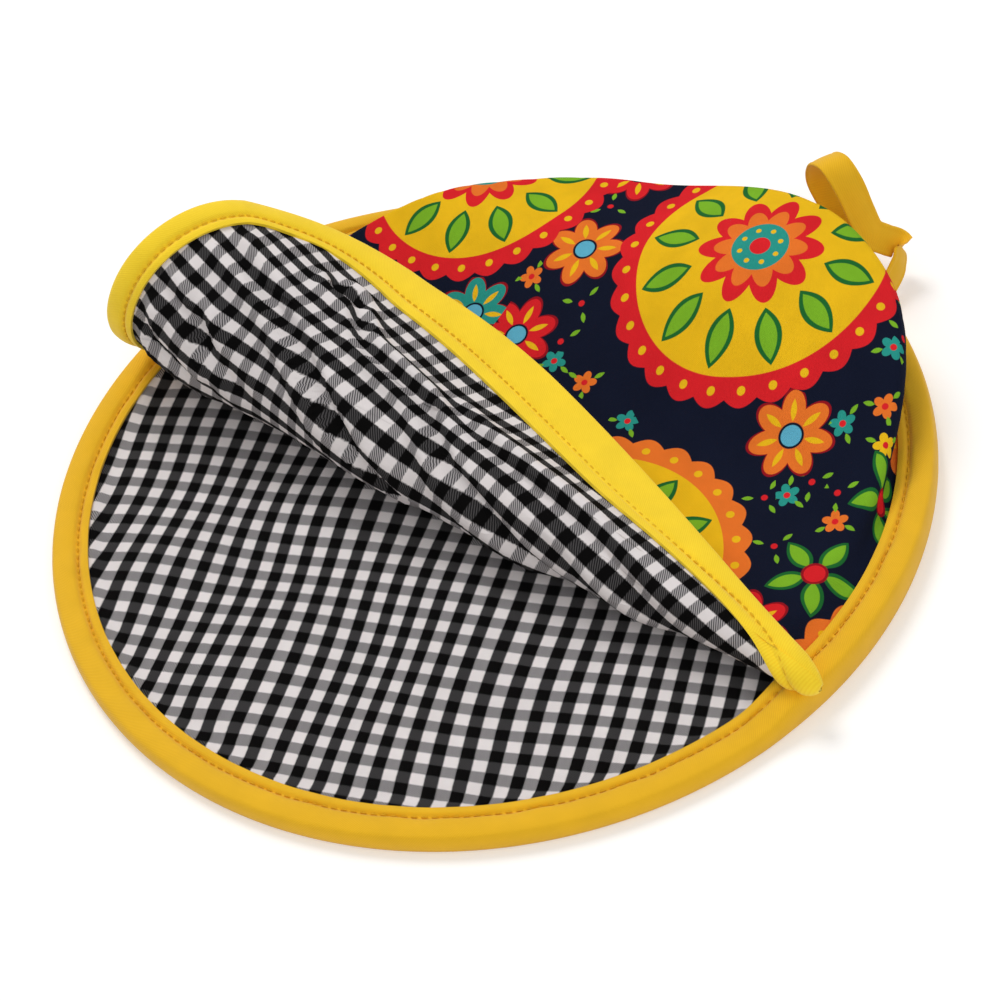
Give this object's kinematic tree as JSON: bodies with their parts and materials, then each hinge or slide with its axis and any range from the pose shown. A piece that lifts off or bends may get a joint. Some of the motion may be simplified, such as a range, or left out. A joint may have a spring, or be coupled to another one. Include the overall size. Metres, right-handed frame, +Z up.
{
  "type": "tortilla warmer",
  "caption": "Round quilted cloth pouch with a bound rim, a gingham lining, a front flap that rolls back on itself, and a hanging loop.",
  "frame": {"origin": "centre of the flat underside that the pouch lies on", "axes": "+Z up through the pouch's thickness, X along the fold of the opened flap, -Y towards the mouth"},
  "size_m": [0.3048, 0.3126, 0.0761],
  "materials": {
    "print_cloth": "plain-weave cotton canvas printed all over with bright folk motifs on navy",
    "gingham_cloth": "yarn-dyed black and white gingham with small checks",
    "batting": "soft off-white wadding",
    "gold_twill": "matt golden-yellow twill tape",
    "yellow_twill": "matt bright-yellow twill tape"
  },
  "bodies": {
    "pouch": {"base_outer": "print_cloth", "base_batting": "batting", "base_lining": "gingham_cloth", "cover_outer": "print_cloth", "cover_batting": "batting", "cover_lining": "gingham_cloth", "rim_binding": "gold_twill"},
    "fold_1": {"flap_fold_1": "gingham_cloth", "mouth_binding_fold_1": "yellow_twill"},
    "fold_2": {"flap_fold_2": "gingham_cloth", "mouth_binding_fold_2": "yellow_twill"},
    "fold_3": {"flap_fold_3": "gingham_cloth", "mouth_binding_fold_3": "yellow_twill"},
    "fold_4": {"flap_fold_4": "gingham_cloth", "mouth_binding_fold_4": "yellow_twill"},
    "flap": {"flap_outer": "print_cloth", "flap_batting": "batting", "flap_lining": "gingham_cloth", "mouth_binding": "yellow_twill"},
    "loop": {"hanging_loop": "gold_twill"}
  },
  "joints": [
    {"name": "fold_crease_1", "type": "hinge", "parent": "pouch", "child": "fold_1", "pos_m": [0.15598, -0.027, 0.014], "axis": [0.9965, -0.0837, 0], "range_deg": [0, 42]},
    {"name": "fold_crease_2", "type": "hinge", "parent": "fold_1", "child": "fold_2", "pos_m": [0.15598, -0.027, 0.014], "axis": [0.9983, -0.0266, -0.0513], "range_deg": [0, 42]},
    {"name": "fold_crease_3", "type": "hinge", "parent": "fold_2", "child": "fold_3", "pos_m": [0.15598, -0.027, 0.014], "axis": [0.9917, -0.0183, -0.1274], "range_deg": [0, 42]},
    {"name": "fold_crease_4", "type": "hinge", "parent": "fold_3", "child": "fold_4", "pos_m": [0.15598, -0.027, 0.014], "axis": [0.98, -0.0631, -0.1886], "range_deg": [0, 42]},
    {"name": "fold_crease_5", "type": "hinge", "parent": "fold_4", "child": "flap", "pos_m": [0.15598, -0.027, 0.014], "axis": [0.9694, -0.1376, -0.2034], "range_deg": [0, 42]},
    {"name": "loop_swing", "type": "hinge", "parent": "pouch", "child": "loop", "pos_m": [0.07206, 0.13553, 0.0015], "axis": [-0.8829, 0.4695, 0], "range_deg": [0, 25]}
  ],
  "couplings": [
    {"joint": "fold_crease_2", "follows": "fold_crease_1", "ratio": 1},
    {"joint": "fold_crease_3", "follows": "fold_crease_1", "ratio": 1},
    {"joint": "fold_crease_4", "follows": "fold_crease_1", "ratio": 1},
    {"joint": "fold_crease_5", "follows": "fold_crease_1", "ratio": 1}
  ]
}
